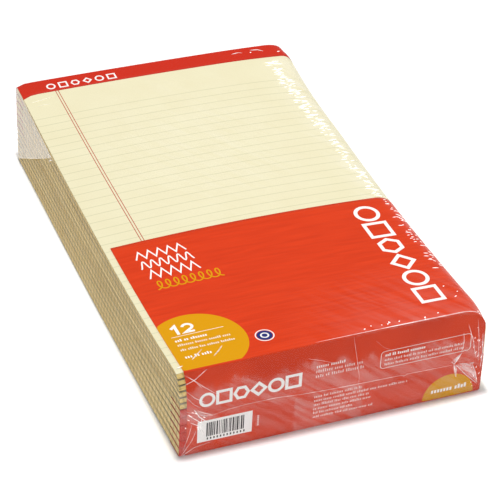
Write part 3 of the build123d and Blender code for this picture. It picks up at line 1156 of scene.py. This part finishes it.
def on_film_rear(x, z, lift):
    """A place behind the film's rear."""
    return x, FILM_REAR + lift, z


def lay_ridge(points, faces, surface, path, width, height):
    """Adds a pressed fold of the film: a low three-sided ridge along a path, tapered to its ends."""
    places = along_path(path, RIDGE_CELL)
    first, last = len(points), len(places) - 1
    for n, place in enumerate(places):
        along = places[min(n + 1, last)] - places[max(n - 1, 0)]
        across = Vector((-along.y, along.x)).normalized()
        taper = 0.15 + 0.85 * max(0.0, math.sin(math.pi * n / last)) ** 0.5 if last > 1 else 0.5
        half = across * width / 2 * taper
        points.append(surface(*(place - half), -RIDGE_SUNK))
        points.append(surface(*place, height * taper))
        points.append(surface(*(place + half), -RIDGE_SUNK))
    for n in range(last):
        for side in range(3):
            a, b = first + 3 * n + side, first + 3 * n + (side + 1) % 3
            faces.append([a, b, b + 3, a + 3])
    faces.append([first, first + 1, first + 2])
    faces.append([first + 3 * last + side for side in (2, 1, 0)])


def lay_flap(points, faces, surface, outline, middle, thickness):
    """Adds a flat fold of the film: a thin closed plate fanned out from a place in its middle."""
    first = len(points)
    rim = along_path(outline + outline[:1], FLAP_CELL)[:-1]
    for lift in (0.02, thickness):
        points.append(surface(*middle, lift))
        points.extend(surface(*place, lift) for place in rim)
    count = len(rim)
    upper = first + count + 1
    for n in range(count):
        a, b = 1 + n, 1 + (n + 1) % count
        faces.append([first, first + b, first + a])
        faces.append([upper, upper + a, upper + b])
        faces.append([first + a, first + b, upper + b, upper + a])


def film_folds():
    """The slack triangle at the left rear and the gathered corner at the right front."""
    slack_flaps = (([(177.3, 66.5), (86.0, 60.2), (176.5, 1.5)], (150.0, 45.0), 0.12),)
    gathered_flaps = (
        ([(87, 28), (100.5, 24.5), (105, 8)], (97, 20), 0.3),
        ([(86, 28), (83.5, 31), (90.5, 37)], (86.6, 31.5), 0.35),
        ([(86.4, 27.4), (88.2, 27), (89, 17)], (87.7, 24), 0.35),
        ([(88, 28.5), (101, 26.5), (98, 24.5)], (95, 26.4), 0.45),
    )
    for name, material, surface, flaps in (
        ("slack_film_fold", slack_film, on_film_left, slack_flaps),
        ("gathered_film_corner", gathered_film, on_film_front, gathered_flaps),
    ):
        points, faces = [], []
        for outline, middle, thickness in flaps:
            lay_flap(points, faces, surface, outline, middle, thickness)
        new_piece(name, points, faces, [material], turn_outwards=True, smooth=False)


def film_creases():
    """Creases, painted highlight lines along the card's front fold, and the trim seam of the film, all in
    film whose white veil and glow are painted glints.
    """
    points, faces = [], []
    for surface, creases in (
        (on_film_front, (
            ([(-104, 59.5), (-97, 62), (-88, 69)], 0.6),
            ([(-101, 66), (-91, 55), (-80, 45)], 0.35),
            ([(-103, 68), (-96, 60), (-92, 54)], 0.3),
            ([(-105, 56), (-97, 47), (-90, 42)], 0.35),
            ([(-104, 50), (-98, 42), (-93, 38)], 0.3),
            ([(-106, 2), (-99, 12), (-96, 20)], 0.35),
            ([(-106, 1), (-97, 6), (-84, 8)], 0.35),
            ([(-105, 6), (-101, 18), (-99, 27)], 0.3),
            ([(11, 70), (14, 55), (17.5, 36), (17.5, 27)], 0.18),
            ([(-20, 60), (-10, 56), (2, 50)], 0.14),
            ([(27, 63), (33, 56), (42, 50)], 0.12),
            ([(90.5, 37), (92, 45), (91, 54)], 0.35),
            ([(94, 60), (98, 48), (102, 30)], 0.35),
            ([(101, 62), (103, 45), (104, 26)], 0.3),
            ([(87, 28), (95, 18), (105, 7)], 0.7),
            ([(100, 25), (103, 17), (105, 8)], 0.6),
            ([(105.5, 50), (106.5, 34), (106, 20)], 0.5),
            ([(86, 28), (91, 37)], 1.2),
            ([(86, 28), (88.5, 17)], 1.1),
            ([(-98, 38), (-94, 31), (-87, 24)], 0.6),
            ([(-103, 35), (-94, 27), (-90, 20)], 0.5),
            ([(-95, 36), (-90, 33), (-84, 30)], 0.6),
            ([(-101, 28), (-95, 24), (-91, 15)], 0.5),
            ([(-92, 30), (-93, 22), (-90, 16)], 0.6),
        )),
        (on_film_top, (
            ([(-106.5, -173.5), (-101.5, -172)], 1.2),
            ([(-15, -177.8), (25, -177.8), (62, -177.8)], 0.5),
            ([(30, -177.7), (70, -177.8), (105, -177.5)], 1.3),
            ([(-94, -168), (-89, -163.5), (-84, -159)], 1.0),
            ([(-104, 152), (-96, 153), (-86, 155)], 0.4),
            ([(-101, 146), (-96, 147), (-91, 146.5)], 0.3),
            ([(-80, -169), (-75, -164.5), (-71, -160)], 1.1),
            ([(60, 171), (66, 172), (69, 171)], 0.9),
            ([(76, 173), (82, 172.5), (86, 170)], 1.1),
        )),
        (on_film_left, (
            ([(84, 59), (90, 55.5), (93, 52)], 0.8),
            ([(87, 60), (93, 57.5), (97, 56.5)], 0.6),
            ([(86, 60), (118, 39), (150, 18.5), (176, 1.8)], 0.5),
        )),
    ):
        for path, width in creases:
            lay_ridge(points, faces, surface, path, width, CREASE_HEIGHT)
    seam_right = [(y, SEAM_HEIGHT) for y in (FILM_FRONT, 0, FILM_REAR)]
    seam_rear = [(x, SEAM_HEIGHT) for x in (-FILM_HALF_WIDTH, 0, FILM_HALF_WIDTH)]
    lay_ridge(points, faces, on_film_front, SEAM_PATH, 0.32, 0.16)
    lay_ridge(points, faces, on_film_right, seam_right, 0.9, 0.45)
    lay_ridge(points, faces, on_film_rear, seam_rear, 0.9, 0.45)
    new_piece("film_creases", points, faces, [creased_film_painted_glints], turn_outwards=True)


def pucker_tree():
    """Nodes that scatter short pressed ridges over a patch of the film, laid along one direction; their
    film's white veil and glow are painted glints.
    """
    tree = bpy.data.node_groups.new("film_puckers", "GeometryNodeTree")
    tree.interface.new_socket("Geometry", in_out="INPUT", socket_type="NodeSocketGeometry")
    for name in ("Density", "Length", "Width", "Height", "Angle"):
        tree.interface.new_socket(name, in_out="INPUT", socket_type="NodeSocketFloat")
    tree.interface.new_socket("Seed", in_out="INPUT", socket_type="NodeSocketInt")
    tree.interface.new_socket("Geometry", in_out="OUTPUT", socket_type="NodeSocketGeometry")
    given = tree.nodes.new("NodeGroupInput").outputs
    spots = add_node(
        tree, "GeometryNodeDistributePointsOnFaces",
        {"Mesh": given["Geometry"], "Density": given["Density"], "Seed": given["Seed"]},
    )
    swing = add_node(
        tree, "FunctionNodeRandomValue", {2: -PUCKER_SWING, 3: PUCKER_SWING, "Seed": given["Seed"]},
        data_type="FLOAT",
    )
    heading = maths(tree, "ADD", given["Angle"], swing.outputs[1])
    sideways = add_node(
        tree, "FunctionNodeAlignRotationToVector", {"Vector": spots.outputs["Normal"]}, axis="Z"
    )
    turn = add_node(tree, "ShaderNodeCombineXYZ", {"Z": heading})
    turn_rotation = add_node(tree, "FunctionNodeEulerToRotation", {0: turn.outputs[0]})
    turned = add_node(
        tree, "FunctionNodeRotateRotation", {0: sideways.outputs[0], 1: turn_rotation.outputs[0]},
        rotation_space="LOCAL",
    )
    spread = add_node(tree, "FunctionNodeRandomValue", {2: 0.35, 3: 1.3}, data_type="FLOAT")
    length = maths(tree, "MULTIPLY", given["Length"], spread.outputs[1])
    size = add_node(
        tree, "ShaderNodeCombineXYZ", {"X": length, "Y": given["Width"], "Z": given["Height"]}
    )
    ridge = add_node(tree, "GeometryNodeMeshUVSphere", {"Segments": 8, "Rings": 4, "Radius": 0.5})
    placed = add_node(
        tree, "GeometryNodeInstanceOnPoints",
        {"Points": spots.outputs["Points"], "Instance": ridge.outputs["Mesh"],
         "Rotation": turned.outputs[0], "Scale": size.outputs[0]},
    )
    real = add_node(tree, "GeometryNodeRealizeInstances", {"Geometry": placed.outputs[0]})
    finished = add_node(
        tree, "GeometryNodeSetMaterial", {"Geometry": real.outputs[0], "Material": puckered_film_painted_glints}
    )
    add_node(tree, "NodeGroupOutput", {"Geometry": finished.outputs[0]})
    return tree


def film_puckers(name, surface, rows, density, length, width, height, angle, seed):
    """Puckers over one patch of the film; rows hold the patch's places, and density is per square metre."""
    points, faces = [], []
    count = len(rows[0])
    for row in rows:
        points += [surface(*place, 0.0) for place in row]
    for a in range(len(rows) - 1):
        for b in range(count - 1):
            corner = a * count + b
            faces.append([corner, corner + 1, corner + count + 1, corner + count])
    carrier = bpy.data.objects.new(name, settled_mesh(name, points, faces))
    bpy.context.scene.collection.objects.link(carrier)
    scatter = carrier.modifiers.new("puckers", "NODES")
    scatter.node_group = puckers
    values = {
        "Density": density, "Length": length * MM, "Width": width * MM, "Height": height * MM,
        "Angle": angle, "Seed": seed,
    }
    for item in puckers.interface.items_tree:
        if item.in_out == "INPUT" and item.name in values:
            scatter[item.identifier] = values[item.name]
    evaluated = carrier.evaluated_get(bpy.context.evaluated_depsgraph_get())
    mesh = bpy.data.meshes.new_from_object(evaluated)
    carrier.modifiers.remove(scatter)
    bpy.data.objects.remove(carrier)
    mesh.name = name
    mesh.shade_smooth()
    placed_piece(name, mesh)


def band_rows(left, right, front, rear, lean=0.0):
    """Rows of places that fill a straight band of a surface; lean is its drift across per length."""
    xs = spaced(left, right, 2.0)
    return [[(x + lean * (y - front), y) for x in xs] for y in spaced(front, rear, 4.0)]


film_skin()
film_folds()
film_creases()
puckers = pucker_tree()
# Puckers whitened as painted glints; those along the card's front fold stand for its painted highlight
for name, surface, band, density, length, width, height, angle, seed in (
    ("sheet_edge_puckers", on_film_top, (91, 98, -30, 60, -0.045), 80000, 4.6, 0.7, 0.3, 0.0, 3),
    ("rear_sheet_edge_puckers", on_film_top, (86, 95, 60, 156, -0.035), 110000, 5.0, 0.8, 0.3, 0.05, 5),
    ("card_edge_puckers", on_film_top, (94, 102, -124, -34), 55000, 4.0, 0.7, 0.3, 0.1, 8),
    ("fold_line_highlight_puckers", on_film_top, (20, 78, -177, -171), 26000, 1.5, 0.9, 0.3, 0.5, 13),
    ("right_corner_puckers", on_film_top, (84, 104, -177, -140), 9000, 1.8, 0.8, 0.3, 0.7, 21),
    ("front_right_puckers", on_film_front, (99, 106, 6, 60), 50000, 2.2, 0.4, 0.25, 1.2, 34),
    ("front_left_puckers", on_film_front, (-104, -90, 20, 38), 40000, 2.6, 0.4, 0.25, 2.4, 55),
    ("band_corner_puckers", on_film_top, (72, 102, 162, 175), 12000, 3.0, 1.0, 0.3, 0.3, 89),
):
    film_puckers(name, surface, band_rows(*band), density, length, width, height, angle, seed)


# Camera, floor and light

PHOTO_WIDTH = 500
FOCAL_LENGTH_PIXELS = 2105.5
CAMERA_PLACE = Vector((-458.3, -1110.9, 901.1)) * MM
CAMERA_DIRECTION = Vector((0.3139, 0.7413, -0.5932)).normalized()
CAMERA_ROLL = math.radians(3.14)


def photo_camera():
    """The camera at the photograph's place, angle and focal length."""
    camera = bpy.data.objects.new("photo_camera", bpy.data.cameras.new("photo_camera"))
    bpy.context.scene.collection.objects.link(camera)
    level_right = CAMERA_DIRECTION.cross(Vector((0, 0, 1))).normalized()
    level_up = level_right.cross(CAMERA_DIRECTION)
    right = level_right * math.cos(CAMERA_ROLL) + level_up * math.sin(CAMERA_ROLL)
    up = right.cross(CAMERA_DIRECTION)
    turn = Matrix((right, up, -CAMERA_DIRECTION)).transposed()
    camera.matrix_world = Matrix.Translation(CAMERA_PLACE) @ turn.to_4x4()
    camera.data.sensor_width = 36.0
    camera.data.lens = FOCAL_LENGTH_PIXELS / PHOTO_WIDTH * camera.data.sensor_width
    camera.data.clip_end = 20.0
    bpy.context.scene.camera = camera


def white_floor():
    """A plain white table, far wider than the view."""
    reach = 3.0
    corners = [(-reach, -reach, 0), (reach, -reach, 0), (reach, reach, 0), (-reach, reach, 0)]
    mesh = bpy.data.meshes.new("white_floor")
    mesh.from_pydata(corners, [], [[0, 1, 2, 3]])
    material, tree, output = new_material("white_table")
    surface = add_node(
        tree, "ShaderNodeBsdfPrincipled",
        {"Base Color": srgb("FCFCFC"), "Roughness": 0.7, "Specular IOR Level": 0.1,
         "Emission Color": srgb("FFFFFF"), "Emission Strength": 0.06},
    )
    tree.links.new(surface.outputs[0], output.inputs[0])
    mesh.materials.append(material)
    floor = bpy.data.objects.new("white_floor", mesh)
    bpy.context.scene.collection.objects.link(floor)


def softbox(name, place, size, energy):
    """A square soft light aimed at the pack; place and size are in metres, energy in watts."""
    lamp = bpy.data.lights.new(name, "AREA")
    lamp.size = size
    lamp.energy = energy
    box = bpy.data.objects.new(name, lamp)
    bpy.context.scene.collection.objects.link(box)
    box.location = place
    box.rotation_mode = "QUATERNION"
    box.rotation_quaternion = (Vector((0, 0, 0.03)) - Vector(place)).to_track_quat("-Z", "Y")


def studio_light():
    """Even white surroundings, a small key light almost straight above and two wide ones low at the sides."""
    world = bpy.data.worlds.new("white_studio")
    world.use_nodes = True
    background = world.node_tree.nodes["Background"]
    background.inputs["Color"].default_value = srgb("FFFFFF")
    background.inputs["Strength"].default_value = 0.3
    bpy.context.scene.world = world
    softbox("front_softbox", (-0.6, -1.6, 0.45), 0.9, 4.0)
    softbox("right_softbox", (1.3, 0.5, 0.9), 1.0, 5.5)
    softbox("overhead_softbox", (-0.13, -0.07, 2.0), 0.17, 31.0)


photo_camera()
white_floor()
studio_light()
bpy.context.scene.view_settings.view_transform = "Standard"
